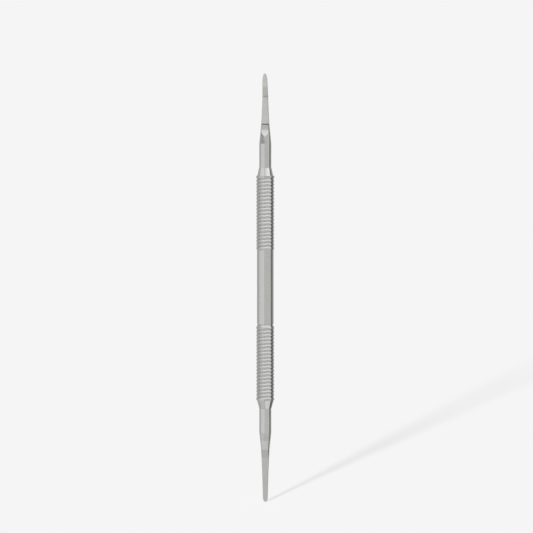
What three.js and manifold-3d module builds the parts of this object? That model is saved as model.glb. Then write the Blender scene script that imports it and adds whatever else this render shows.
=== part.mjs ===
// A double-ended steel nail instrument with a hollow handle.
// The handle is one octagonal tube with two ringed grips and a plain waist. A tapered octagonal collar is
// plugged into each end of it, and each collar holds the round tang of a slim file blade: a straight one
// below and one with a bent tip above. Rings of brazing metal fill the mouths of the four joints.
// Millimetres. +Z runs up the tool's axis from the straight file's tip, which is the origin. The corners of
// every octagon point along X and Y, and the blades' broad faces look along -Y and +Y.
import * as THREE from "three";
import { mergeVertices } from "three/addons/utils/BufferGeometryUtils.js";
import Module from "manifold-3d";

// Handle tube
const GRIP_ACROSS_CORNERS = 6.36;
const WAIST_ACROSS_CORNERS = 5.82;
const WAIST_LENGTH = 25.8;
const RING_COUNT = 21;
const RING_PITCH = 1.235;
const END_TO_FIRST_CREST = 0.5;
const LAST_CREST_TO_WAIST = 1.1;
const GROOVE_DIAMETER = 5.76;
const GROOVE_WIDTH = 0.9;
const SHOULDER_LENGTH = 0.6;
const BORE_DIAMETER = 4.0;

// Collars
const SPIGOT_LENGTH = 8.0;
const SPIGOT_CLEARANCE = 0.02;
const UPPER_COLLAR = { acrossCorners: 5.56, taperLength: 2.8 };
const LOWER_COLLAR = { acrossCorners: 5.88, taperLength: 3.0 };
const COLLAR_LIP = 0.08;

// File blades. The neck flats are ground with a wheel, so they curve up out of the neck: the higher the
// power, the later and the more steeply.
const FLAT_CURVE_POWER = 2.5;
const SHANK_ACROSS_CORNERS = 4.2;
const TANG_DIAMETER = 2.4;
const TANG_LENGTH = 9.5;
const TANG_CLEARANCE = 0.02;
const STRAIGHT_FILE = {
  shankLength: 8.4,
  neckLength: 6.1,
  bladeLength: 18.5,
  rootWidth: 2.93,
  middleWidth: 2.11,
  tipWidth: 1.62,
  tipRounding: 1.5,
  flatLength: 3.2,
  flatThickness: 2.3,
  heelLength: 3.0,
  heelThickness: 0.84,
  creaseFromTip: 8.0,
  creaseThickness: 0.72,
  tipThickness: 0.5,
  bendAngle: 0,
};
const BENT_FILE = {
  shankLength: 8.4,
  neckLength: 6.8,
  bladeLength: 17.6,
  rootWidth: 2.82,
  middleWidth: 2.03,
  tipWidth: 1.7,
  tipRounding: 3.2,
  flatLength: 3.5,
  flatThickness: 1.9,
  heelLength: 0.4,
  heelThickness: 0.94,
  creaseFromTip: 8.0,
  creaseThickness: 0.76,
  tipThickness: 0.46,
  bendAngle: THREE.MathUtils.degToRad(11),
};

// Brazed joints
const TUBE_MOUTH_CHAMFER = 0.45;
const SOCKET_MOUTH_CHAMFER = 0.3;
const BRAZE_CLEARANCE = 0.02;

// Facets of a turned surface. Eight divides them, so that corners line up with the octagons.
const OCTAGON_SIDES = 8;
const GRIP_FACETS = 16;
const BORE_FACETS = 24;
const TIP_ROUNDING_STEPS = 5;
const BLADE_SIDE_STEPS = 6;
const FLAT_STEPS = 5;
const OVERRUN = 1;
const WELD_DISTANCE = 1e-4;

const STEEL = { color: 0xb9b9b6, roughness: 0.34, metalness: 1 };
const GROUND_STEEL = { color: 0xb4b4b0, roughness: 0.42, metalness: 1 };
const POLISHED_STEEL = { color: 0xcfcfcc, roughness: 0.22, metalness: 1 };
const BRAZING_METAL = { color: 0xc9bf9f, roughness: 0.4, metalness: 1 };

const wasm = await Module();
wasm.setup();

// A closed geometry as a solid that can be joined and cut.
function solidOf(geometry) {
  const bare = geometry.clone();
  bare.deleteAttribute("normal");
  bare.deleteAttribute("uv");
  const merged = mergeVertices(bare, WELD_DISTANCE);
  return new wasm.Manifold(
    new wasm.Mesh({
      numProp: 3,
      vertProperties: merged.attributes.position.array,
      triVerts: new Uint32Array(merged.index.array),
    }),
  );
}

function geometryOf(solid) {
  const mesh = solid.getMesh();
  const geometry = new THREE.BufferGeometry();
  geometry.setAttribute("position", new THREE.BufferAttribute(new Float32Array(mesh.vertProperties), 3));
  geometry.setIndex(new THREE.BufferAttribute(new Uint32Array(mesh.triVerts), 1));
  geometry.computeVertexNormals();
  return geometry;
}

// A profile of [radius, height] pairs, going up the outside, spun round the Z axis.
function spun(profile, facets) {
  const points = profile.map(([radius, height]) => new THREE.Vector2(radius, height));
  return new THREE.LatheGeometry(points, facets).rotateX(Math.PI / 2);
}

// A prism, cylinder or frustum between two heights.
function frustum(lowRadius, highRadius, low, high, facets) {
  const geometry = new THREE.CylinderGeometry(highRadius, lowRadius, high - low, facets);
  return geometry.rotateX(Math.PI / 2).translate(0, 0, (low + high) / 2);
}

function prism(acrossCorners, low, high) {
  return solidOf(frustum(acrossCorners / 2, acrossCorners / 2, low, high, OCTAGON_SIDES));
}

function rod(diameter, low, high) {
  return solidOf(frustum(diameter / 2, diameter / 2, low, high, BORE_FACETS));
}

const gripLength = END_TO_FIRST_CREST + (RING_COUNT - 1) * RING_PITCH + LAST_CREST_TO_WAIST;
const tubeLength = 2 * gripLength + WAIST_LENGTH;

// The turned outline of one grip, from its outer end at height 0 to its waist end: V grooves between the
// ring crests, then a sloping shoulder down to the waist. It only cuts where it is inside the octagon.
function gripProfile() {
  const proud = GRIP_ACROSS_CORNERS / 2 + OVERRUN / 10;
  const waistRadius = (WAIST_ACROSS_CORNERS / 2) * Math.cos(Math.PI / OCTAGON_SIDES);
  const profile = [
    [0, -OVERRUN],
    [proud, -OVERRUN],
  ];
  for (let ring = 1; ring < RING_COUNT; ring++) {
    const groove = END_TO_FIRST_CREST + (ring - 0.5) * RING_PITCH;
    profile.push([proud, groove - GROOVE_WIDTH / 2]);
    profile.push([GROOVE_DIAMETER / 2, groove]);
    profile.push([proud, groove + GROOVE_WIDTH / 2]);
  }
  profile.push([proud, gripLength - SHOULDER_LENGTH]);
  profile.push([waistRadius, gripLength]);
  profile.push([0, gripLength]);
  return profile;
}

function grip() {
  return prism(GRIP_ACROSS_CORNERS, 0, gripLength).intersect(solidOf(spun(gripProfile(), GRIP_FACETS)));
}

// The countersink at one mouth of a bore, open towards +Z at height 0.
function mouthChamfer(boreDiameter, leg) {
  const radius = boreDiameter / 2;
  return solidOf(frustum(radius - OVERRUN, radius + leg + OVERRUN, -leg - OVERRUN, OVERRUN, BORE_FACETS));
}

// Both grips, the waist between them and the bore through all three, from height 0 up.
function handleTube() {
  const upperGrip = grip().rotate([180, 0, 0]).translate([0, 0, tubeLength]);
  const waist = prism(WAIST_ACROSS_CORNERS, gripLength - SHOULDER_LENGTH, tubeLength - gripLength + SHOULDER_LENGTH);
  const upperMouth = mouthChamfer(BORE_DIAMETER, TUBE_MOUTH_CHAMFER);
  const lowerMouth = upperMouth.rotate([180, 0, 0]);
  const solid = grip()
    .add(upperGrip)
    .add(waist)
    .subtract(rod(BORE_DIAMETER, -OVERRUN, tubeLength + OVERRUN))
    .subtract(upperMouth.translate([0, 0, tubeLength]))
    .subtract(lowerMouth);
  return geometryOf(solid);
}

// A collar with its spigot below height 0, where it meets the tube, and its taper above.
function collar({ acrossCorners, taperLength }) {
  const socketDiameter = TANG_DIAMETER + 2 * TANG_CLEARANCE;
  const lipRadius = SHANK_ACROSS_CORNERS / 2 + COLLAR_LIP;
  const taper = solidOf(frustum(acrossCorners / 2, lipRadius, 0, taperLength, OCTAGON_SIDES));
  const spigot = rod(BORE_DIAMETER - 2 * SPIGOT_CLEARANCE, -SPIGOT_LENGTH, taperLength / 2);
  const mouth = mouthChamfer(socketDiameter, SOCKET_MOUTH_CHAMFER).translate([0, 0, taperLength]);
  const solid = taper
    .add(spigot)
    .subtract(rod(socketDiameter, -SPIGOT_LENGTH - OVERRUN, taperLength + OVERRUN))
    .subtract(mouth);
  return geometryOf(solid);
}

// The ring of brazing metal that fills a chamfered mouth round a rod, with its flat face at height 0.
function brazeRing(rodDiameter, boreDiameter, leg) {
  const inner = rodDiameter / 2 + BRAZE_CLEARANCE;
  const outer = boreDiameter / 2 + leg - BRAZE_CLEARANCE;
  const profile = [
    [inner, inner - outer],
    [outer, 0],
    [inner, 0],
    [inner, inner - outer],
  ];
  return geometryOf(solidOf(spun(profile, BORE_FACETS)));
}

// The heights along a file, from its shoulder at 0 to its tip.
function stations(file) {
  const neck = file.shankLength;
  const root = neck + file.neckLength;
  const tip = root + file.bladeLength;
  return { neck, root, tip, flat: root - file.flatLength, crease: tip - file.creaseFromTip };
}

// Half the blade's width at a share of its length from root to tip: a curve through its three widths.
function bladeHalfWidth(file, share) {
  const pull = 2 * file.middleWidth - (file.rootWidth + file.tipWidth) / 2;
  const width =
    (1 - share) ** 2 * file.rootWidth + 2 * share * (1 - share) * pull + share ** 2 * file.tipWidth;
  return width / 2;
}

// The blank that a file is ground from: an octagon that narrows through the neck and along the blade.
function blankProfile(file) {
  const { neck, root, tip, crease } = stations(file);
  const straight = tip - file.tipRounding;
  const profile = [
    [0, 0],
    [SHANK_ACROSS_CORNERS / 2, 0],
    [SHANK_ACROSS_CORNERS / 2, neck],
  ];
  const widthAt = (height) => bladeHalfWidth(file, (height - root) / file.bladeLength);
  for (let step = 0; step < BLADE_SIDE_STEPS; step++) {
    const height = root + ((crease - root) * step) / BLADE_SIDE_STEPS;
    profile.push([widthAt(height), height]);
  }
  profile.push([widthAt(crease), crease]);
  for (let step = 0; step < TIP_ROUNDING_STEPS; step++) {
    const angle = (Math.PI / 2) * (step / TIP_ROUNDING_STEPS);
    profile.push([widthAt(straight) * Math.cos(angle), straight + file.tipRounding * Math.sin(angle)]);
  }
  profile.push([0, tip]);
  return profile;
}

// The side view that the blank is ground to: neck flats, the heel behind them and the thin blade.
function sideView(file) {
  const { root, tip, flat, crease, neck } = stations(file);
  const neckHalf = THREE.MathUtils.mapLinear(flat, neck, root, SHANK_ACROSS_CORNERS / 2, file.rootWidth / 2);
  const rootHalf = file.flatThickness / 2;
  const outside = SHANK_ACROSS_CORNERS / 2 + OVERRUN;
  const half = [
    [outside, -OVERRUN],
    [outside, flat],
  ];
  for (let step = FLAT_STEPS; step >= 0; step--) {
    const share = step / FLAT_STEPS;
    half.push([rootHalf + (neckHalf - rootHalf) * share ** FLAT_CURVE_POWER, root - file.flatLength * share]);
  }
  half.push(
    [file.heelThickness / 2, root + file.heelLength],
    [file.creaseThickness / 2, crease],
    [file.tipThickness / 2, tip + OVERRUN],
  );
  const mirrored = half.map(([depth, height]) => [-depth, height]).reverse();
  const outline = [...half, ...mirrored].map(([depth, height]) => new THREE.Vector2(depth, height));
  const width = SHANK_ACROSS_CORNERS + 2 * OVERRUN;
  const across = new THREE.Matrix4().makeBasis(
    new THREE.Vector3(0, 1, 0),
    new THREE.Vector3(0, 0, 1),
    new THREE.Vector3(1, 0, 0),
  );
  const geometry = new THREE.ExtrudeGeometry(new THREE.Shape(outline), { depth: width, bevelEnabled: false });
  return geometry.applyMatrix4(across).translate(-width / 2, 0, 0);
}

// Leans everything above the crease towards -Y.
function bent(geometry, file) {
  const { crease } = stations(file);
  const position = geometry.attributes.position;
  for (let index = 0; index < position.count; index++) {
    const above = Math.max(0, position.getZ(index) - crease);
    position.setY(index, position.getY(index) - above * Math.tan(file.bendAngle));
  }
  return geometry;
}

// A file with its shoulder at height 0, its tang below and its blade above.
function fileBlade(file) {
  const blank = solidOf(bent(spun(blankProfile(file), OCTAGON_SIDES), file));
  const ground = blank.intersect(solidOf(bent(sideView(file), file)));
  return geometryOf(ground.add(rod(TANG_DIAMETER, -TANG_LENGTH, OVERRUN)));
}

function part(name, geometry, finish, height = 0) {
  const mesh = new THREE.Mesh(geometry, new THREE.MeshStandardMaterial(finish));
  mesh.name = name;
  mesh.position.z = height;
  return mesh;
}

// One end of the tool: its collar, its file and the brazing metal of its two joints, outward along +Z.
function toolEnd(side, collarSizes, fileName, file) {
  const end = new THREE.Group();
  const spigotDiameter = BORE_DIAMETER - 2 * SPIGOT_CLEARANCE;
  const tubeBraze = brazeRing(spigotDiameter, BORE_DIAMETER, TUBE_MOUTH_CHAMFER);
  const socketDiameter = TANG_DIAMETER + 2 * TANG_CLEARANCE;
  const socketBraze = brazeRing(TANG_DIAMETER, socketDiameter, SOCKET_MOUTH_CHAMFER);
  end.add(part(`${side}_collar`, collar(collarSizes), POLISHED_STEEL));
  end.add(part(`${side}_collar_braze_ring`, tubeBraze, BRAZING_METAL));
  end.add(part(fileName, fileBlade(file), GROUND_STEEL, collarSizes.taperLength));
  end.add(part(`${side}_tang_braze_ring`, socketBraze, BRAZING_METAL, collarSizes.taperLength));
  return end;
}

const tubeStart = stations(STRAIGHT_FILE).tip + LOWER_COLLAR.taperLength;

const lowerEnd = toolEnd("lower", LOWER_COLLAR, "straight_file", STRAIGHT_FILE);
lowerEnd.position.z = tubeStart;
lowerEnd.rotation.x = Math.PI;

const upperEnd = toolEnd("upper", UPPER_COLLAR, "bent_file", BENT_FILE);
upperEnd.position.z = tubeStart + tubeLength;

const tool = new THREE.Group();
tool.add(part("handle_tube", handleTube(), STEEL, tubeStart));
tool.add(lowerEnd);
tool.add(upperEnd);

export default tool;
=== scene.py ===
"""Looks of a double-ended steel nail instrument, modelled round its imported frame.

A hollow octagonal handle with two ringed grips, a tapered collar plugged into each end, and a slim
file blade in each collar: a straight one below and one with a bent tip above. The file is laid out
as an add-on with one operator for each piece and one for the stage, and runs as a script.
"""

import math

import bmesh
import bpy
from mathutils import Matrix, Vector


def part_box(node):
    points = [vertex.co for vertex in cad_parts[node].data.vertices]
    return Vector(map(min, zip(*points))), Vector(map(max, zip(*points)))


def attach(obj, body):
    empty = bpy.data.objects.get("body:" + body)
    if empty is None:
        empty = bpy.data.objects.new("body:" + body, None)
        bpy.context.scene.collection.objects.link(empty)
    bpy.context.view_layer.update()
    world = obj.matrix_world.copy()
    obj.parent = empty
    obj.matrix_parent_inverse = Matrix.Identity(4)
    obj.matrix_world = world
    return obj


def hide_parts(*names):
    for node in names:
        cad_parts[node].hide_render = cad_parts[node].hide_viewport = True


bl_info = {
    "name": "Nail Instrument",
    "version": (1, 0, 0),
    "blender": (4, 5, 0),
    "location": "View3D > Sidebar > Nail Instrument",
    "description": "Models a double-ended nail instrument round its packed frame",
    "category": "Add Mesh",
}

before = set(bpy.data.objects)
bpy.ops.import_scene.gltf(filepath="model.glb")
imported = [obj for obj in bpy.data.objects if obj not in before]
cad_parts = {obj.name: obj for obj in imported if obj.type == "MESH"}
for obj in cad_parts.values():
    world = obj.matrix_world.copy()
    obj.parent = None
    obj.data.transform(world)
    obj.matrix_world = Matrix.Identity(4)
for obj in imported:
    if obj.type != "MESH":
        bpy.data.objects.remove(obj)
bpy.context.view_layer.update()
TUBE_LOW, TUBE_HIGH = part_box("handle_tube")
LOWER_COLLAR_LOW, LOWER_COLLAR_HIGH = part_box("lower_collar")
UPPER_COLLAR_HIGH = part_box("upper_collar")[1]
STRAIGHT_LOW, STRAIGHT_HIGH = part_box("straight_file")
BENT_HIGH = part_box("bent_file")[1]

MM = 0.001
OCTAGON = 8
EIGHTH_TURN = math.tau / OCTAGON
ROUND = 96
ROOT = "root"

WELD_DISTANCE = 1e-7
# How sharply a bar's octagon gives way to the circle that it was turned to.
TURNED_SHARPNESS = 150
# How far from a crisp height, and how steep, an edge may be and still belong to it.
CRISP_REACH = 0.02 * MM
CRISP_SLOPE = 0.2
NORMAL_WEIGHT = 90

# Where the points of an octagonal section lie on one flat, from its middle (0) to a corner (1).
FLAT_POINTS = (-0.97, -0.92, -0.84, -0.7, -0.4, 0.0, 0.4, 0.7, 0.84, 0.92, 0.97, 1.0)


# ---- Properties -------------------------------------------------------------------------------


def length(name, description, millimetres):
    return bpy.props.FloatProperty(
        name=name, description=description, default=millimetres * MM, unit="LENGTH", precision=5
    )


def share(name, description, default):
    return bpy.props.FloatProperty(
        name=name, description=description, default=default, subtype="FACTOR", min=0.0, max=1.0
    )


def colour(name, description, default):
    return bpy.props.FloatVectorProperty(
        name=name, description=description, default=default, subtype="COLOR", size=3, min=0, max=1
    )


class HandleSizes(bpy.types.PropertyGroup):
    """Sizes of the ringed handle tube"""

    ring_count: bpy.props.IntProperty(
        name="Rings per grip", description="Ring crests on each grip", default=21, min=2
    )
    ring_pitch: length("Ring pitch", "Distance from one ring crest to the next", 1.235)
    first_crest: length("First crest", "From the tube's end to the first crest", 0.5)
    lower_shoulder: length("Lower shoulder", "From the lower grip's last crest to the waist", 1.4)
    upper_shoulder: length("Upper shoulder", "From the upper grip's last crest to the waist", 0.6)
    groove_depth: length("Groove depth", "Depth of a groove at the corners", 0.27)
    flat_depth: length("Flat depth", "Depth of a groove on the flats", 0.085)
    crest_radius: length("Crest radius", "Turned radius of the ring crests", 3.17)
    waist_radius: length("Waist radius", "Radius to the waist's corners", 2.91)
    bore_radius: length("Bore radius", "Radius of the tube's bore", 2.0)


class FileSizes(bpy.types.PropertyGroup):
    """Sizes that both file blades share"""

    shank_length: length("Shank length", "Length of the plain octagonal shank", 8.4)
    edge_round: length("Edge rounding", "Width of the rounding along the blade's edges", 0.07)
    tang_radius: length("Tang radius", "Radius of the round tang", 1.2)


class FinishColours(bpy.types.PropertyGroup):
    """Colours of the finishes"""

    handle: colour("Handle steel", "Satin steel of the handle tube", (0.620, 0.617, 0.600))
    collar: colour("Collar steel", "Brighter polished steel of the collars", (0.660, 0.655, 0.642))
    blade: colour("Blade steel", "Matt ground steel of the blades", (0.600, 0.597, 0.580))
    braze: colour("Brazing metal", "Pale brazing metal in the joints", (0.640, 0.590, 0.430))


class StageSettings(bpy.types.PropertyGroup):
    """Floor, lights and camera"""

    floor_level: share("Floor brightness", "Brightness of the floor and backdrop", 0.913)
    elevation: bpy.props.FloatProperty(
        name="Camera elevation", description="Height of the camera as an angle",
        default=math.radians(4.0), subtype="ANGLE",
    )
    azimuth: bpy.props.FloatProperty(
        name="Camera azimuth", description="How far the camera and lights are turned round the tool",
        default=math.radians(5.2), subtype="ANGLE",
    )
    lens: bpy.props.FloatProperty(
        name="Lens", description="Focal length of the camera", default=200.0, unit="CAMERA"
    )
    view_width: length("View width", "Width of the view at the tool", 185.86)


# ---- Modelling helpers ------------------------------------------------------------------------


def deselect_all():
    bpy.ops.object.select_all(action="DESELECT")


def make_active(piece):
    deselect_all()
    piece.select_set(True)
    bpy.context.view_layer.objects.active = piece


def select_edges(piece, test):
    """Selects, in edit mode, the edges that pass a test of their middle point and direction."""
    mesh = bmesh.from_edit_mesh(piece.data)
    bpy.ops.mesh.select_mode(type="EDGE")
    bpy.ops.mesh.select_all(action="DESELECT")
    for edge in mesh.edges:
        start, end = (corner.co for corner in edge.verts)
        edge.select_set(test((start + end) / 2, (end - start).normalized()))
    mesh.select_flush_mode()
    bmesh.update_edit_mesh(piece.data)


def spun(name, profile, steps=ROUND):
    """Spins a closed profile of (radius, height) points round the Z axis into a closed solid."""
    mesh = bpy.data.meshes.new(name)
    count = len(profile)
    edges = [(index, (index + 1) % count) for index in range(count)]
    mesh.from_pydata([(radius, 0, height) for radius, height in profile], edges, [])
    piece = bpy.data.objects.new(name, mesh)
    bpy.context.scene.collection.objects.link(piece)
    make_active(piece)
    bpy.ops.object.mode_set(mode="EDIT")
    bpy.ops.mesh.select_all(action="SELECT")
    bpy.ops.mesh.spin(steps=steps, angle=math.tau, center=(0, 0, 0), axis=(0, 0, 1))
    bpy.ops.mesh.select_all(action="SELECT")
    bpy.ops.mesh.remove_doubles(threshold=WELD_DISTANCE)
    bpy.ops.mesh.normals_make_consistent(inside=False)
    bpy.ops.object.mode_set(mode="OBJECT")
    return piece


def cut(piece, cutter, operation):
    """Joins or cuts a piece with another, which is used up."""
    make_active(piece)
    modifier = piece.modifiers.new("cut", "BOOLEAN")
    modifier.operation = operation
    modifier.solver = "EXACT"
    modifier.object = cutter
    bpy.ops.object.modifier_apply(modifier=modifier.name)
    bpy.data.objects.remove(cutter)


def section_points(sharpness, bulge):
    """A unit octagon with a corner on each axis, whose corners are rounded and whose flats bulge a little.

    The higher the sharpness, the tighter the corners. bulge is how far a flat's middle stands out.
    """
    points = []
    for flat in range(OCTAGON):
        middle = (flat + 0.5) * EIGHTH_TURN
        for place in FLAT_POINTS:
            angle = middle + place * EIGHTH_TURN / 2
            reach = 0.0
            for other in range(OCTAGON):
                reach += max(0.0, math.cos(angle - (other + 0.5) * EIGHTH_TURN)) ** sharpness
            radius = math.cos(EIGHTH_TURN / 2) / reach ** (1 / sharpness) + bulge * (1 - place**2)
            points.append((angle, radius))
    widest = max(radius for angle, radius in points)
    return [
        (radius / widest * math.cos(angle), radius / widest * math.sin(angle))
        for angle, radius in points
    ]


def octagonal_loft(name, stations, sharpness=60, bulge=0.008):
    """An octagonal bar through (corner radius, height) stations, extruded and resized one by one."""
    deselect_all()
    radius, height = stations[0]
    points = section_points(sharpness, bulge)
    bpy.ops.mesh.primitive_circle_add(
        vertices=len(points), radius=radius, fill_type="NGON", location=(0, 0, height)
    )
    piece = bpy.context.active_object
    piece.name = name
    bpy.ops.object.transform_apply(location=True, rotation=False, scale=False)
    for vertex, (x, y) in zip(piece.data.vertices, points):
        vertex.co = (radius * x, radius * y, height)
    bpy.ops.object.mode_set(mode="EDIT")
    bpy.ops.mesh.select_all(action="SELECT")
    for (last_radius, last_height), (radius, height) in zip(stations, stations[1:]):
        bpy.ops.mesh.extrude_region_move(
            TRANSFORM_OT_translate={"value": (0, 0, height - last_height)}
        )
        factor = radius / last_radius
        bpy.ops.transform.resize(value=(factor, factor, 1), center_override=(0, 0, height))
    bpy.ops.mesh.select_all(action="SELECT")
    bpy.ops.mesh.normals_make_consistent(inside=False)
    bpy.ops.object.mode_set(mode="OBJECT")
    return piece


def turned_bar(name, stations, sharpness, bulge):
    """An octagonal bar through (corner radius, turned radius, height) stations.

    At each station the bar is as wide as its octagon, but no wider than the circle it was turned to.
    """
    deselect_all()
    points = section_points(sharpness, bulge)
    bpy.ops.mesh.primitive_circle_add(
        vertices=len(points), radius=1, fill_type="NGON", location=(0, 0, 0)
    )
    piece = bpy.context.active_object
    piece.name = name
    for vertex, (x, y) in zip(piece.data.vertices, points):
        vertex.co = (x, y, 0)
    bpy.ops.object.mode_set(mode="EDIT")
    bpy.ops.mesh.select_all(action="SELECT")
    bpy.ops.mesh.extrude_repeat(steps=len(stations) - 1, offset=(0, 0, 1))
    bpy.ops.object.mode_set(mode="OBJECT")
    for vertex in piece.data.vertices:
        x, y, number = vertex.co
        corner, turned, height = stations[round(abs(number))]
        reach = math.hypot(x, y)
        octagon = reach * corner
        overlap = (turned / octagon) ** TURNED_SHARPNESS
        wide = turned / (1 + overlap) ** (1 / TURNED_SHARPNESS)
        vertex.co = (x / reach * wide, y / reach * wide, height)
    make_active(piece)
    bpy.ops.object.mode_set(mode="EDIT")
    bpy.ops.mesh.select_all(action="SELECT")
    bpy.ops.mesh.normals_make_consistent(inside=False)
    bpy.ops.object.mode_set(mode="OBJECT")
    return piece


def merged(piece, distance=0.002 * MM):
    """Merges points that lie closer than a distance and drops what collapses."""
    make_active(piece)
    bpy.ops.object.mode_set(mode="EDIT")
    bpy.ops.mesh.select_all(action="SELECT")
    bpy.ops.mesh.remove_doubles(threshold=distance)
    bpy.ops.mesh.dissolve_degenerate(threshold=distance / 4)
    bpy.ops.object.mode_set(mode="OBJECT")


def soften(piece, width, segments=2, angle=math.radians(20)):
    """Takes the sharpness off every edge steeper than an angle."""
    make_active(piece)
    modifier = piece.modifiers.new("soften", "BEVEL")
    modifier.width = width
    modifier.segments = segments
    modifier.limit_method = "ANGLE"
    modifier.angle_limit = angle
    modifier.harden_normals = False
    bpy.ops.object.modifier_apply(modifier=modifier.name)


def shade(piece, crisp_heights=(), angle=math.radians(24)):
    """Smooths a piece's shading over its gentle edges, but not across it at the crisp heights."""
    make_active(piece)
    if crisp_heights:
        bpy.ops.object.mode_set(mode="EDIT")
        select_edges(
            piece,
            lambda middle, direction: abs(direction.z) < CRISP_SLOPE
            and min(abs(middle.z - height) for height in crisp_heights) < CRISP_REACH,
        )
        bpy.ops.mesh.mark_sharp()
        bpy.ops.object.mode_set(mode="OBJECT")
    bpy.ops.object.shade_smooth_by_angle(angle=angle, keep_sharp_edges=True)
    modifier = piece.modifiers.new("flat_normals", "WEIGHTED_NORMAL")
    modifier.weight = NORMAL_WEIGHT
    modifier.keep_sharp = True
    bpy.ops.object.modifier_apply(modifier=modifier.name)


def finish_piece(piece, name, node, material):
    """Names a finished piece, gives it its finish and puts it in the place of its frame node."""
    piece.name = name
    piece.data.name = name
    piece.data.materials.clear()
    piece.data.materials.append(material)
    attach(piece, ROOT)
    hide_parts(node)


# ---- Finishes ---------------------------------------------------------------------------------


# Painted shade down in the ring grooves: how dark their colour is made where shade falls in them.
GROOVE_PAINTED_SHADE = 0.78
# The facet over which the painted groove shade sits off the grooves' middles, as an angle back from +X,
# and by how much, painting the chevrons of light and shade there.
OFFSET_FACET = 1.45 * EIGHTH_TURN
PAINTED_SHADE_OFFSET = 0.6 * math.pi
# Shade of a collar where it was dressed, the painted shade along its corners, and the painted shade in a
# blade's creases.
DRESSED_SHADE = 0.93
CORNER_PAINTED_SHADE = 0.78
CREASE_PAINTED_SHADE = 0.45


class NodeDesk:
    """Adds nodes to a node tree and wires them."""

    def __init__(self, tree):
        self.tree = tree

    def add(self, kind, inputs=None, **settings):
        node = self.tree.nodes.new(kind)
        for key, value in settings.items():
            setattr(node, key, value)
        for key, value in (inputs or {}).items():
            if isinstance(value, bpy.types.NodeSocket):
                self.tree.links.new(value, node.inputs[key])
            else:
                node.inputs[key].default_value = value
        return node

    def math(self, operation, first, second):
        node = self.add("ShaderNodeMath", {0: first, 1: second}, operation=operation)
        return node.outputs["Value"]


class FinishDesk(NodeDesk):
    """Builds the material of one finish from its object coordinates."""

    def __init__(self, name):
        self.material = bpy.data.materials.new(name)
        self.material.use_nodes = True
        super().__init__(self.material.node_tree)
        self.shader = self.tree.nodes["Principled BSDF"]
        coordinates = self.tree.nodes.new("ShaderNodeTexCoord")
        self.position = coordinates.outputs["Object"]

    def stretched(self, scale):
        """Object coordinates scaled along each axis, in millimetres."""
        mapping = self.add("ShaderNodeMapping", {"Vector": self.position, "Scale": scale})
        return mapping.outputs["Vector"]

    def noise(self, scale, detail=3.0, roughness=0.55):
        node = self.add(
            "ShaderNodeTexNoise",
            {"Vector": self.stretched(scale), "Scale": 1.0, "Detail": detail, "Roughness": roughness},
        )
        return node.outputs["Fac"]

    def remap(self, value, low, high):
        node = self.add(
            "ShaderNodeMapRange",
            {"Value": value, "From Min": 0.3, "From Max": 0.7, "To Min": low, "To Max": high},
        )
        return node.outputs["Result"]

    def tint(self, factor, dark, light):
        node = self.add(
            "ShaderNodeMix", {"Factor": factor, "A": (*dark, 1), "B": (*light, 1)}, data_type="RGBA"
        )
        return node.outputs["Result"]

    def bump(self, height, distance, strength=1.0):
        node = self.add(
            "ShaderNodeBump", {"Height": height, "Distance": distance, "Strength": strength}
        )
        return node.outputs["Normal"]

    def wire(self, socket, value):
        if isinstance(value, bpy.types.NodeSocket):
            self.tree.links.new(value, self.shader.inputs[socket])
        else:
            self.shader.inputs[socket].default_value = value


def smooth_step(desk, value, low, high):
    node = desk.add(
        "ShaderNodeMapRange", {"Value": value, "From Min": low, "From Max": high},
        interpolation_type="SMOOTHSTEP",
    )
    return node.outputs["Result"]


def scaled(rgb, factor):
    return tuple(min(1.0, channel * factor) for channel in rgb)


def within(desk, value, low, high, blur):
    """1 between two limits and 0 outside them, with soft ends."""
    above = smooth_step(desk, value, low - blur, low + blur)
    below = smooth_step(desk, value, high + blur, high - blur)
    return desk.math("MULTIPLY", above, below)


def dimmed(desk, tone, amount, shading):
    """A colour multiplied by a shade of grey, to a varying amount."""
    node = desk.add(
        "ShaderNodeMix", {"Factor": amount, "A": tone, "B": (shading, shading, shading, 1)},
        data_type="RGBA", blend_type="MULTIPLY",
    )
    return node.outputs["Result"]


def corner_wear_and_shade(desk):
    """1 along the eight corners of the bar, where handling has polished them, and 0 on its flats; on the
    collars it also carries painted shade along the corners.
    """
    spread = desk.add("ShaderNodeSeparateXYZ", {"Vector": desk.position}).outputs
    angle = desk.math("ARCTAN2", spread["Y"], spread["X"])
    nearness = desk.math("COSINE", desk.math("MULTIPLY", angle, float(OCTAGON)), 0.0)
    rubbed = desk.math("ADD", nearness, desk.remap(desk.noise((800, 800, 300)), -0.15, 0.1))
    return smooth_step(desk, rubbed, 0.72, 1.0)


def polished_by(desk, roughness, corner_mask, share_left):
    """Roughness lowered to a share of itself where the corner mask is full."""
    return desk.math("MULTIPLY", roughness, desk.add(
        "ShaderNodeMapRange", {"Value": corner_mask, "To Min": 1.0, "To Max": share_left}
    ).outputs["Result"])


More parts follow.
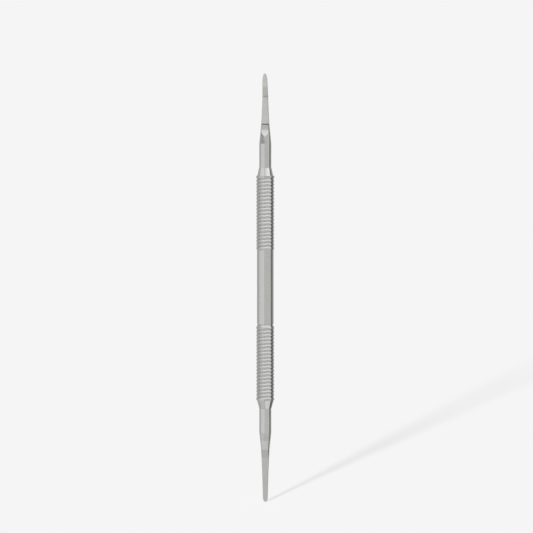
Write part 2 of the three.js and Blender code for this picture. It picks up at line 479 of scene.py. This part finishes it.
def satin_handle_steel(rgb, pitch, grips):
    """Satin steel with fine marks round the bar from turning, and painted shade down in the grooves.

    grips holds (crest, low, high) for each grip: the height of one of its crests and its two ends.
    Over one facet the painted shade sits off the grooves' middles, so that it makes chevrons of light and
    shade with its neighbours.
    """
    desk = FinishDesk("satin_handle_steel")
    marks = desk.noise((1200, 1200, 9000), detail=4)
    cloud = desk.noise((350, 350, 120), detail=2)
    tone = desk.tint(desk.remap(cloud, 0, 1), scaled(rgb, 0.97), scaled(rgb, 1.03))
    spread = desk.add("ShaderNodeSeparateXYZ", {"Vector": desk.position}).outputs
    along = spread["Z"]
    angle = desk.math("ARCTAN2", spread["Y"], spread["X"])
    facing = desk.math("COSINE", desk.math("ADD", angle, OFFSET_FACET), 0.0)
    offset = smooth_step(desk, facing, 0.88, 1.0)
    # Painted shade: each grip's grooves are darkened in colour where shade falls in them.
    for crest, low, high in grips:
        turns = desk.math("MULTIPLY", desk.math("SUBTRACT", along, crest), math.tau / pitch)
        turns = desk.math("SUBTRACT", turns, desk.math("MULTIPLY", offset, PAINTED_SHADE_OFFSET))
        sunk = smooth_step(desk, desk.math("COSINE", turns, 0.0), 0.3, -1.0)
        patchy = desk.math("MULTIPLY", sunk, desk.remap(cloud, 0.8, 1.0))
        painted_shade = desk.math("MULTIPLY", patchy, within(desk, along, low, high, 0.05 * MM))
        tone = dimmed(desk, tone, painted_shade, GROOVE_PAINTED_SHADE)
    desk.wire("Base Color", tone)
    desk.wire("Metallic", 1.0)
    satin = desk.math("ADD", desk.remap(marks, 0.20, 0.26), desk.remap(cloud, 0, 0.04))
    desk.wire("Roughness", polished_by(desk, satin, corner_wear_and_shade(desk), 0.8))
    desk.wire("Normal", desk.bump(marks, 0.0015 * MM))
    return desk.material


def polished_collar_steel(rgb):
    """Bright steel with faint marks up the taper, left by dressing it by hand."""
    desk = FinishDesk("polished_collar_steel")
    marks = desk.noise((6000, 6000, 500), detail=4)
    cloud = desk.noise((900, 900, 500), detail=2)
    tone = desk.tint(desk.remap(cloud, 0, 1), scaled(rgb, 0.98), scaled(rgb, 1.04))
    streaks = desk.remap(desk.noise((2600, 2600, 600), detail=2), 0, 1)
    tone = dimmed(desk, tone, streaks, DRESSED_SHADE)
    corner_mask = corner_wear_and_shade(desk)
    # Painted shade: the collar's corners are darkened in colour.
    tone = dimmed(desk, tone, corner_mask, CORNER_PAINTED_SHADE)
    desk.wire("Base Color", tone)
    desk.wire("Metallic", 1.0)
    dressed = desk.math("ADD", desk.remap(marks, 0.17, 0.25), desk.remap(cloud, 0, 0.05))
    desk.wire("Roughness", polished_by(desk, dressed, corner_mask, 0.85))
    desk.wire("Normal", desk.bump(marks, 0.0015 * MM))
    return desk.material


def ground_blade_steel(name, rgb, blade, neck, painted_creases, shade_bands):
    """Satin shank and matt, finely cut blade, with painted shade in the creases across it and stepped
    along its length.

    blade and neck are the heights between which the finish turns from matt to satin, painted_creases are
    (height, half width) of the creases, which are painted dark as shade, and shade_bands are (low, high,
    shade, blur of the ends) of the stretches that are painted darker as shade, for how the light falls on
    each.
    """
    desk = FinishDesk(name)
    along = desk.add("ShaderNodeSeparateXYZ", {"Vector": desk.position}).outputs["Z"]
    matt = desk.add(
        "ShaderNodeMapRange", {"Value": along, "From Min": neck, "From Max": blade}
    ).outputs["Result"]
    marks = desk.noise((900, 900, 7000), detail=4)
    brushed = desk.noise((5000, 5000, 300), detail=3)
    cloud = desk.noise((500, 500, 200), detail=2)
    tone = desk.tint(desk.remap(cloud, 0, 1), scaled(rgb, 0.97), scaled(rgb, 1.03))
    # Painted shade: each crease across the blade is darkened in colour, where shade falls in it.
    for height, reach in painted_creases:
        away = desk.math("ABSOLUTE", desk.math("SUBTRACT", along, height), 0.0)
        ragged = desk.remap(desk.noise((2500, 2500, 500)), -reach / 4, reach / 4)
        wander = desk.math("ADD", away, ragged)
        crease_shading = smooth_step(desk, wander, reach, reach / 3)
        crease_colour = (*scaled(rgb, CREASE_PAINTED_SHADE), 1)
        tone = desk.add(
            "ShaderNodeMix", {"Factor": crease_shading, "A": tone, "B": crease_colour}, data_type="RGBA"
        ).outputs["Result"]
    # Painted shade: stretches of the blade are darkened in colour for how the light falls on each.
    for low, high, shading, blur in shade_bands:
        tone = dimmed(desk, tone, within(desk, along, low, high, blur * MM), shading)
    desk.wire("Base Color", tone)
    desk.wire("Metallic", 1.0)
    satin = desk.remap(brushed, 0.19, 0.25)
    ground = desk.remap(marks, 0.28, 0.38)
    roughness = desk.add("ShaderNodeMix", {"Factor": matt, "A": satin, "B": ground}).outputs["Result"]
    varied = desk.math("ADD", roughness, desk.remap(cloud, 0, 0.04))
    desk.wire("Roughness", polished_by(desk, varied, corner_wear_and_shade(desk), 0.85))
    grain = desk.add("ShaderNodeMix", {"Factor": matt, "A": brushed, "B": marks}).outputs["Result"]
    desk.wire("Normal", desk.bump(grain, 0.002 * MM))
    return desk.material


def dull_brazing_metal(rgb):
    """Pale brazing metal with the fine grain of a melted surface."""
    desk = FinishDesk("dull_brazing_metal")
    grain = desk.noise((4000, 4000, 4000), detail=5)
    desk.wire("Base Color", desk.tint(desk.remap(grain, 0, 1), scaled(rgb, 0.9), scaled(rgb, 1.08)))
    desk.wire("Metallic", 1.0)
    desk.wire("Roughness", desk.remap(grain, 0.35, 0.5))
    desk.wire("Normal", desk.bump(grain, 0.01 * MM))
    return desk.material


# ---- Handle -----------------------------------------------------------------------------------


# Shoulders between a grip and the waist, as (corner radius, turned radius, distance to the waist).
UNDERCUT_SHOULDER = (
    (3.2, 3.14, 1.15),
    (3.2, 2.96, 0.72),
    (3.2, 2.74, 0.24),
    (3.2, 2.63, 0.16),
    (3.2, 2.63, 0.1),
    (3.0, 2.7, 0.04),
)
PLAIN_SHOULDER = ((3.2, 3.12, 0.35), (3.12, 2.98, 0.12), (3.0, 2.92, 0.03))


RING_STEPS = 12
CORNER_PROUD = 0.03 * MM


def grip_stations(sizes, end, waist, shoulder):
    """Stations of one grip, as (corner radius, turned radius, height) from the tube's end to its waist."""
    crest = sizes.crest_radius
    towards = 1 if waist > end else -1
    stations = [(crest, crest, end)]
    for step in range(RING_STEPS * (sizes.ring_count - 1) + 1):
        fall = (1 - math.cos(math.tau * step / RING_STEPS)) / 2
        height = end + towards * (sizes.first_crest + sizes.ring_pitch * step / RING_STEPS)
        corner = crest + CORNER_PROUD - sizes.flat_depth * fall
        stations.append((corner, crest - sizes.groove_depth * fall, height))
    for corner, turned, before in shoulder:
        stations.append((corner * MM, turned * MM, waist - towards * before * MM))
    stations.append((sizes.waist_radius, crest, waist))
    return stations


class INSTRUMENT_OT_handle(bpy.types.Operator):
    """Model the hollow octagonal handle with its two ringed grips and plain waist"""

    bl_idname = "instrument.handle"
    bl_label = "Handle tube"

    def execute(self, context):
        sizes = context.scene.handle_sizes
        last_crest = sizes.first_crest + (sizes.ring_count - 1) * sizes.ring_pitch
        lower_waist = TUBE_LOW.z + last_crest + sizes.lower_shoulder
        upper_waist = TUBE_HIGH.z - last_crest - sizes.upper_shoulder
        lower = grip_stations(sizes, TUBE_LOW.z, lower_waist, UNDERCUT_SHOULDER)
        upper = grip_stations(sizes, TUBE_HIGH.z, upper_waist, PLAIN_SHOULDER)
        bar = turned_bar("handle_bar", lower + upper[::-1], sharpness=50, bulge=0.012)
        bore = spun(
            "bore",
            [
                (0, TUBE_LOW.z - MM),
                (sizes.bore_radius, TUBE_LOW.z - MM),
                (sizes.bore_radius, TUBE_HIGH.z + MM),
                (0, TUBE_HIGH.z + MM),
            ],
        )
        cut(bar, bore, "DIFFERENCE")
        shade(bar)
        grips = (
            (TUBE_LOW.z + sizes.first_crest, TUBE_LOW.z, TUBE_LOW.z + last_crest),
            (TUBE_HIGH.z - sizes.first_crest, TUBE_HIGH.z - last_crest, TUBE_HIGH.z),
        )
        material = satin_handle_steel(context.scene.finish_colours.handle, sizes.ring_pitch, grips)
        finish_piece(bar, "ringed_handle", "handle_tube", material)
        return {"FINISHED"}


# ---- Collars ----------------------------------------------------------------------------------


COLLAR_LIP = 0.08 * MM
LIP_CHAMFER = 0.06 * MM
SOCKET_RADIUS = 1.22 * MM
SPIGOT_CLEARANCE = 0.02 * MM
SPIGOT_LENGTH = 8 * MM
SPIGOT_CHAMFER = 0.2 * MM


def collar_piece(name, base_radius, base, lip_radius, end, bore_radius):
    """A tapered octagonal collar with its spigot and the socket for a tang."""
    away = 1 if end > base else -1
    stations = [
        (base_radius, base),
        (lip_radius, end - away * LIP_CHAMFER),
        (lip_radius - LIP_CHAMFER, end),
    ]
    taper = octagonal_loft(name, stations, sharpness=60, bulge=0.012)
    spigot = bore_radius - SPIGOT_CLEARANCE
    foot = base - away * SPIGOT_LENGTH
    inner = base + away * MM
    profile = [
        (SOCKET_RADIUS, foot),
        (spigot - SPIGOT_CHAMFER, foot),
        (spigot, foot + away * SPIGOT_CHAMFER),
        (spigot, inner),
        (SOCKET_RADIUS, inner),
    ]
    cut(taper, spun("spigot", profile), "UNION")
    socket = [
        (0, foot - away * MM),
        (SOCKET_RADIUS, foot - away * MM),
        (SOCKET_RADIUS, end + away * MM),
        (0, end + away * MM),
    ]
    cut(taper, spun("socket", socket), "DIFFERENCE")
    shade(taper)
    return taper


class INSTRUMENT_OT_collars(bpy.types.Operator):
    """Model the two tapered collars that plug the handle's ends"""

    bl_idname = "instrument.collars"
    bl_label = "Collars"

    def execute(self, context):
        bore = context.scene.handle_sizes.bore_radius
        material = polished_collar_steel(context.scene.finish_colours.collar)
        upper = collar_piece(
            "upper_taper",
            UPPER_COLLAR_HIGH.x,
            TUBE_HIGH.z,
            BENT_HIGH.x + COLLAR_LIP,
            UPPER_COLLAR_HIGH.z,
            bore,
        )
        finish_piece(upper, "upper_tapered_collar", "upper_collar", material)
        lower = collar_piece(
            "lower_taper",
            LOWER_COLLAR_HIGH.x,
            TUBE_LOW.z,
            STRAIGHT_HIGH.x + COLLAR_LIP / 2,
            LOWER_COLLAR_LOW.z,
            bore,
        )
        finish_piece(lower, "lower_tapered_collar", "lower_collar", material)
        return {"FINISHED"}


# ---- Files ------------------------------------------------------------------------------------

TANG_LENGTH = 9.5 * MM
TANG_CHAMFER = 0.2 * MM
# Steepness above which a blade's edges are softened.
SOFTENED_ANGLE = math.radians(14)
SLAB_WIDTH = 8 * MM
# How much brighter the ground blades are than the shared blade colour.
GROUND_BRIGHTNESS = 1.25
SIDE_STEPS = 10
TIP_STEPS = 8
# Share of a blade's half width that its tip ends at.
TIP_SHARE = 0.04


def blade_width(widths, along):
    """Width of a blade at a share of its length, on a curve through its root, middle and tip widths."""
    root, middle, tip = widths
    pull = 2 * middle - (root + tip) / 2
    return (1 - along) ** 2 * root + 2 * along * (1 - along) * pull + along**2 * tip


def blank_stations(sizes, shoulder, away, neck, blade, widths, rounding, shank_radius):
    """Stations of the octagonal blank that a file is ground from, from its shoulder to its tip."""
    neck_start = shoulder + away * sizes.shank_length
    root = neck_start + away * neck
    stations = [(shank_radius, shoulder), (shank_radius, neck_start)]
    straight = blade - rounding
    for step in range(SIDE_STEPS + 1):
        run = straight * step / SIDE_STEPS
        stations.append((blade_width(widths, run / blade) / 2, root + away * run))
    last = stations[-1][0]
    for step in range(1, TIP_STEPS):
        angle = math.pi / 2 * step / TIP_STEPS
        run = straight + rounding * math.sin(angle)
        stations.append((last * math.cos(angle), root + away * run))
    stations.append((last * TIP_SHARE, root + away * blade))
    return stations


def ground_slab(name, outline, lean, width):
    """The side view that a file is ground to, as a slab across the tool.

    outline holds (half thickness, height) points and lean gives the blade's drift in Y at a height.
    """
    front = [(lean(height) - half, height) for half, height in outline]
    back = [(lean(height) + half, height) for half, height in reversed(outline)]
    loop = front + back
    mesh = bpy.data.meshes.new(name)
    mesh.from_pydata([(-width / 2, y, z) for y, z in loop], [], [list(range(len(loop)))])
    slab = bpy.data.objects.new(name, mesh)
    bpy.context.scene.collection.objects.link(slab)
    make_active(slab)
    bpy.ops.object.mode_set(mode="EDIT")
    bpy.ops.mesh.select_all(action="SELECT")
    bpy.ops.mesh.extrude_region_move(TRANSFORM_OT_translate={"value": (width, 0, 0)})
    bpy.ops.mesh.select_all(action="SELECT")
    bpy.ops.mesh.normals_make_consistent(inside=False)
    bpy.ops.object.mode_set(mode="OBJECT")
    return slab


def add_tang(piece, radius, shoulder, away):
    """Joins a round tang to a file below its shoulder."""
    end = shoulder - away * TANG_LENGTH
    top = shoulder + away * MM
    profile = [
        (0, end),
        (radius - TANG_CHAMFER, end),
        (radius, end + away * TANG_CHAMFER),
        (radius, top),
        (0, top),
    ]
    cut(piece, spun("tang", profile, steps=48), "UNION")


def leaned(piece, lean):
    """Leans a blank sideways by the drift that lean gives at each height."""
    for vertex in piece.data.vertices:
        vertex.co.y += lean(vertex.co.z)


def with_station(stations, height):
    """The stations of an upward blank with one more at a height, on the line between its neighbours."""
    for index, (low, high) in enumerate(zip(stations, stations[1:])):
        if low[1] < height < high[1]:
            share_of_way = (height - low[1]) / (high[1] - low[1])
            radius = low[0] + (high[0] - low[0]) * share_of_way
            return stations[: index + 1] + [(radius, height)] + stations[index + 1 :]
    return stations


def wheel_ground(root_half, neck_half, root, reach):
    """Points of a neck flat that a wheel grinds, from where it leaves the neck to the blade's root."""
    steps = 8
    points = []
    for step in range(steps, -1, -1):
        way = step / steps
        points.append((root_half + (neck_half - root_half) * way**3, root + reach * way))
    return points


class INSTRUMENT_OT_straight_file(bpy.types.Operator):
    """Model the straight file blade with its neck, shank and tang"""

    bl_idname = "instrument.straight_file"
    bl_label = "Straight file"

    def execute(self, context):
        sizes = context.scene.file_sizes
        shoulder = LOWER_COLLAR_LOW.z
        tip = STRAIGHT_LOW.z
        neck = 6.1 * MM
        blade = shoulder - tip - sizes.shank_length - neck
        widths = (2.93 * MM, 2.11 * MM, 1.62 * MM)
        rounding = 1.5 * MM
        stations = blank_stations(
            sizes, shoulder, -1, neck, blade, widths, rounding, STRAIGHT_HIGH.x
        )
        blank = octagonal_loft("straight_blank", stations)
        root = tip + blade
        outline = [(3 * MM, shoulder + MM), (3 * MM, root + 3.6 * MM)]
        outline += wheel_ground(1.15 * MM, 1.86 * MM, root, 3.2 * MM)
        outline += [
            (0.44 * MM, root - 2.7 * MM),
            (0.41 * MM, root - 3.3 * MM),
            (0.35 * MM, tip + 8 * MM),
            (0.25 * MM, tip - MM),
        ]
        slab = ground_slab("straight_slab", outline, lambda height: 0.0, SLAB_WIDTH)
        cut(blank, slab, "INTERSECT")
        soften(blank, sizes.edge_round, angle=SOFTENED_ANGLE)
        add_tang(blank, sizes.tang_radius, shoulder, -1)
        shade(blank, (shoulder, shoulder - sizes.shank_length, root))
        rgb = scaled(context.scene.finish_colours.blade, GROUND_BRIGHTNESS)
        # Painted shade stepped along the straight blade's length.
        shade_bands = (
            (root + 6.1 * MM, shoulder + MM, 0.83, 0.15),
            (root + 3.3 * MM, root + 6.1 * MM, 0.88, 0.15),
            (root - 2.8 * MM, root, 0.78, 0.1),
            (tip - MM, root - 2.8 * MM, 0.87, 0.1),
        )
        material = ground_blade_steel("straight_blade_steel", rgb, root - 3 * MM, root + MM, (), shade_bands)
        finish_piece(blank, "straight_blade", "straight_file", material)
        return {"FINISHED"}


class INSTRUMENT_OT_bent_file(bpy.types.Operator):
    """Model the file blade with the bent tip, with its neck, shank and tang"""

    bl_idname = "instrument.bent_file"
    bl_label = "Bent file"

    def execute(self, context):
        sizes = context.scene.file_sizes
        shoulder = UPPER_COLLAR_HIGH.z
        tip = BENT_HIGH.z
        neck = 6.8 * MM
        blade = tip - shoulder - sizes.shank_length - neck
        widths = (2.82 * MM, 2.03 * MM, 1.70 * MM)
        # Millimetres below the tip at which each stretch of the bend starts, and its lean in degrees.
        bends = ((8.0, 15), (4.9, 20), (3.4, 3))
        crease = tip - bends[0][0] * MM

        def lean(height):
            drift = 0.0
            ends = [below for below, angle in bends[1:]] + [-1.0]
            for (below, angle), stop in zip(bends, ends):
                run = min(height, tip - stop * MM) - (tip - below * MM)
                drift -= max(0.0, run) * math.tan(math.radians(angle))
            return drift

        rounding = 3.2 * MM
        stations = blank_stations(sizes, shoulder, 1, neck, blade, widths, rounding, BENT_HIGH.x)
        for below, angle in bends:
            stations = with_station(stations, tip - below * MM)
        blank = octagonal_loft("bent_blank", stations)
        leaned(blank, lean)
        root = shoulder + sizes.shank_length + neck
        outline = [(3 * MM, shoulder - MM), (3 * MM, root - 4.2 * MM)]
        outline += wheel_ground(0.95 * MM, 1.86 * MM, root - 0.44 * MM, -3.8 * MM)
        outline += [
            (0.42 * MM, root - 0.14 * MM),
            (0.40 * MM, root - 0.06 * MM),
            (0.47 * MM, root + 0.06 * MM),
            (0.39 * MM, crease - 0.16 * MM),
            (0.32 * MM, crease - 0.03 * MM),
            (0.32 * MM, crease + 0.03 * MM),
            (0.38 * MM, crease + 0.16 * MM),
            (0.34 * MM, tip - 4.9 * MM),
            (0.32 * MM, tip - 3.4 * MM),
            (0.23 * MM, tip + MM),
        ]
        cut(blank, ground_slab("bent_slab", outline, lean, SLAB_WIDTH), "INTERSECT")
        merged(blank)
        soften(blank, sizes.edge_round, angle=SOFTENED_ANGLE)
        merged(blank, 0.0005 * MM)
        add_tang(blank, sizes.tang_radius, shoulder, 1)
        shade(blank, (shoulder, shoulder + sizes.shank_length, crease))
        rgb = scaled(context.scene.finish_colours.blade, GROUND_BRIGHTNESS)
        # Creases painted dark as shade, at the blade's root and at the bend.
        painted_creases = ((root - 0.12 * MM, 0.34 * MM), (crease, 0.2 * MM))
        # Painted shade stepped along the bent blade's length, darker over the bend.
        shade_bands = (
            (root - 0.2 * MM, tip - 8.2 * MM, 0.98, 0.15),
            (crease - 0.4 * MM, tip - 4.9 * MM, 0.84, 0.5),
            (tip - 5.4 * MM, tip - 4.3 * MM, 0.94, 0.4),
            (root - 4.4 * MM, root - 0.2 * MM, 0.9, 0.15),
            (root - 7 * MM, root - 4.4 * MM, 0.87, 0.15),
            (shoulder - MM, root - 7 * MM, 0.84, 0.15),
        )
        material = ground_blade_steel("bent_blade_steel", rgb, root + MM, root - 2 * MM, painted_creases, shade_bands)
        finish_piece(blank, "bent_blade", "bent_file", material)
        return {"FINISHED"}


class INSTRUMENT_OT_brazing(bpy.types.Operator):
    """Give the frame's brazing rings their finish"""

    bl_idname = "instrument.brazing"
    bl_label = "Brazing rings"

    def execute(self, context):
        material = dull_brazing_metal(context.scene.finish_colours.braze)
        for name in sorted(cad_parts):
            if name.endswith("braze_ring"):
                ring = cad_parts[name]
                ring.data.materials.clear()
                ring.data.materials.append(material)
        return {"FINISHED"}


# ---- Stage ------------------------------------------------------------------------------------


FLOOR_DIFFUSE = 0.15
# Share of the floor's brightness that the sun gives it, which is what its shadow takes away.
SUNLIGHT = 0.13
SUN_RISE = math.radians(14.0)
SUN_TURN = math.radians(73.1)
SUN_SIZE = math.radians(3.4)
# The point the camera looks at, to the side of the tool's axis and up it.
AIM_ASIDE = 0.42 * MM
AIM_HEIGHT = 82.74 * MM
# Brightness of the studio where no panel stands.
ROOM_LIGHT = 0.75


def glow_material(name, level, diffuse):
    """A pale matt surface that is lit mostly by itself, so that it stays even to its far edge."""
    material = bpy.data.materials.new(name)
    material.use_nodes = True
    shader = material.node_tree.nodes["Principled BSDF"]
    shader.inputs["Base Color"].default_value = (diffuse, diffuse, diffuse, 1)
    shader.inputs["Roughness"].default_value = 1.0
    shader.inputs["Specular IOR Level"].default_value = 0.0
    shader.inputs["Emission Color"].default_value = (1, 1, 1, 1)
    shader.inputs["Emission Strength"].default_value = level
    return material


def stage_plane(name, size, location, rotation, material):
    deselect_all()
    bpy.ops.mesh.primitive_plane_add(size=size, location=location, rotation=rotation)
    plane = bpy.context.active_object
    plane.name = name
    plane.data.materials.append(material)
    return plane


# Each panel of the studio: azimuth it stands at, half its width, elevation of its middle, half its
# height, softness of its edge, all in degrees, and its brightness. Later panels cover earlier ones.
PANELS = (
    (-90, 180, 42, 22, 12, 1.02),
    (-95, 60, 60, 16, 8, 1.4),
    (-98, 14, 42, 28, 8, 0.98),
    (-145, 42, -6, 11, 3, 0.95),
    (-145, 42, -22, 3, 3, 0.35),
    (-145, 34, 21, 5, 4, 1.25),
    (-102, 14, -2, 11, 6, 0.58),
    (-95, 13, -48, 30, 8, 0.66),
    (-52, 20, -40, 14, 8, 0.98),
    (-52, 20, -22, 4, 4, 0.45),
    (-60, 14, 7, 4, 3, 0.25),
    (140, 60, -10, 60, 14, 0.55),
    (20, 16, -6, 46, 6, 0.10),
    (30, 18, -32, 18, 5, 0.09),
    (30, 17, 30, 14, 5, 0.10),
    (-145, 34, 10, 4, 3, 0.05),
    (-48, 8, 19, 5, 3, 1.6),
)


def studio_world(background_level, turn):
    """A soft studio made of panels of light and shade round the tool, on a plain background."""
    world = bpy.data.worlds.new("soft_studio")
    world.use_nodes = True
    bpy.context.scene.world = world
    desk = NodeDesk(world.node_tree)
    direction = desk.add("ShaderNodeTexCoord").outputs["Generated"]
    spread = desk.add("ShaderNodeSeparateXYZ", {"Vector": direction}).outputs
    level_way = desk.add("ShaderNodeCombineXYZ", {"X": spread["X"], "Y": spread["Y"], "Z": 0.0})
    compass = desk.add("ShaderNodeVectorMath", {0: level_way.outputs[0]}, operation="NORMALIZE")
    height = desk.math("ARCSINE", spread["Z"], 0.0)
    light = ROOM_LIGHT
    for azimuth, half_width, elevation, half_height, softness, level in PANELS:
        azimuth, half_width, elevation, half_height, softness = (
            math.radians(angle)
            for angle in (azimuth + turn, half_width, elevation, half_height, softness)
        )
        facing = desk.add(
            "ShaderNodeVectorMath",
            {0: compass.outputs[0], 1: (math.cos(azimuth), math.sin(azimuth), 0)},
            operation="DOT_PRODUCT",
        )
        off_axis = desk.math("ARCCOSINE", facing.outputs["Value"], 0.0)
        off_level = desk.math("ABSOLUTE", desk.math("SUBTRACT", height, elevation), 0.0)
        across = smooth_step(desk, off_axis, half_width + softness, half_width - softness)
        upright = smooth_step(desk, off_level, half_height + softness, half_height - softness)
        mask = desk.math("MULTIPLY", across, upright)
        blend = desk.add("ShaderNodeMix", {"Factor": mask, "A": light, "B": level})
        light = blend.outputs["Result"]
    paths = desk.add("ShaderNodeLightPath").outputs
    mirrored = desk.math("MULTIPLY", light, paths["Is Glossy Ray"])
    seen = desk.math("MULTIPLY", paths["Is Camera Ray"], background_level)
    background = desk.tree.nodes["Background"]
    background.inputs["Color"].default_value = (1, 1, 1, 1)
    desk.tree.links.new(desk.math("ADD", mirrored, seen), background.inputs["Strength"])


class INSTRUMENT_OT_stage(bpy.types.Operator):
    """Set up the floor, the lights and the camera"""

    bl_idname = "instrument.stage"
    bl_label = "Stage"

    def execute(self, context):
        stage = context.scene.stage_settings
        level = stage.floor_level
        surface = glow_material("pale_floor", level - SUNLIGHT, FLOOR_DIFFUSE)
        floor = stage_plane("floor", 8.0, (0, 0, 0), (0, 0, 0), surface)
        floor.visible_glossy = False
        studio_world(level, math.degrees(stage.azimuth))

        sun = bpy.data.lights.new("low_sun", "SUN")
        rise = SUN_RISE
        turn = SUN_TURN + stage.azimuth
        sun.energy = SUNLIGHT * math.pi / FLOOR_DIFFUSE / math.sin(rise)
        sun.angle = SUN_SIZE
        lamp = bpy.data.objects.new("low_sun", sun)
        context.scene.collection.objects.link(lamp)
        towards = Vector(
            (-math.cos(turn) * math.cos(rise), -math.sin(turn) * math.cos(rise), math.sin(rise))
        )
        lamp.rotation_mode = "QUATERNION"
        lamp.rotation_quaternion = towards.to_track_quat("Z", "Y")
        lamp.visible_glossy = False

        camera = bpy.data.cameras.new("camera")
        camera.lens = stage.lens
        viewer = bpy.data.objects.new("camera", camera)
        context.scene.collection.objects.link(viewer)
        distance = stage.view_width * camera.lens / camera.sensor_width
        aside = Vector((math.cos(stage.azimuth), math.sin(stage.azimuth), 0))
        target = aside * AIM_ASIDE + Vector((0, 0, AIM_HEIGHT))
        level_back = math.cos(stage.elevation)
        back = Vector(
            (
                level_back * math.sin(stage.azimuth),
                -level_back * math.cos(stage.azimuth),
                math.sin(stage.elevation),
            )
        )
        viewer.location = target + back * distance
        viewer.rotation_mode = "QUATERNION"
        viewer.rotation_quaternion = back.to_track_quat("Z", "Y")
        camera.clip_end = 20.0
        context.scene.camera = viewer
        context.scene.view_settings.view_transform = "Standard"
        return {"FINISHED"}


# ---- Panel and registration -------------------------------------------------------------------

STEPS = (
    INSTRUMENT_OT_stage,
    INSTRUMENT_OT_handle,
    INSTRUMENT_OT_collars,
    INSTRUMENT_OT_straight_file,
    INSTRUMENT_OT_bent_file,
    INSTRUMENT_OT_brazing,
)


class INSTRUMENT_PT_panel(bpy.types.Panel):
    """Lists the sizes, the finishes and the steps that build the instrument"""

    bl_label = "Nail Instrument"
    bl_idname = "INSTRUMENT_PT_panel"
    bl_space_type = "VIEW_3D"
    bl_region_type = "UI"
    bl_category = "Nail Instrument"

    def draw(self, context):
        scene = context.scene
        for group in (scene.handle_sizes, scene.file_sizes, scene.finish_colours, scene.stage_settings):
            box = self.layout.box()
            for key in group.__annotations__:
                box.prop(group, key)
        for step in STEPS:
            self.layout.operator(step.bl_idname)


GROUPS = {
    "handle_sizes": HandleSizes,
    "file_sizes": FileSizes,
    "finish_colours": FinishColours,
    "stage_settings": StageSettings,
}


def register():
    for group in GROUPS.values():
        bpy.utils.register_class(group)
    for step in STEPS:
        bpy.utils.register_class(step)
    bpy.utils.register_class(INSTRUMENT_PT_panel)
    for name, group in GROUPS.items():
        setattr(bpy.types.Scene, name, bpy.props.PointerProperty(type=group))


def unregister():
    for name in GROUPS:
        delattr(bpy.types.Scene, name)
    bpy.utils.unregister_class(INSTRUMENT_PT_panel)
    for step in reversed(STEPS):
        bpy.utils.unregister_class(step)
    for group in reversed(GROUPS.values()):
        bpy.utils.unregister_class(group)


def main():
    register()
    bpy.ops.instrument.stage()
    bpy.ops.instrument.handle()
    bpy.ops.instrument.collars()
    bpy.ops.instrument.straight_file()
    bpy.ops.instrument.bent_file()
    bpy.ops.instrument.brazing()


if __name__ == "__main__":
    main()
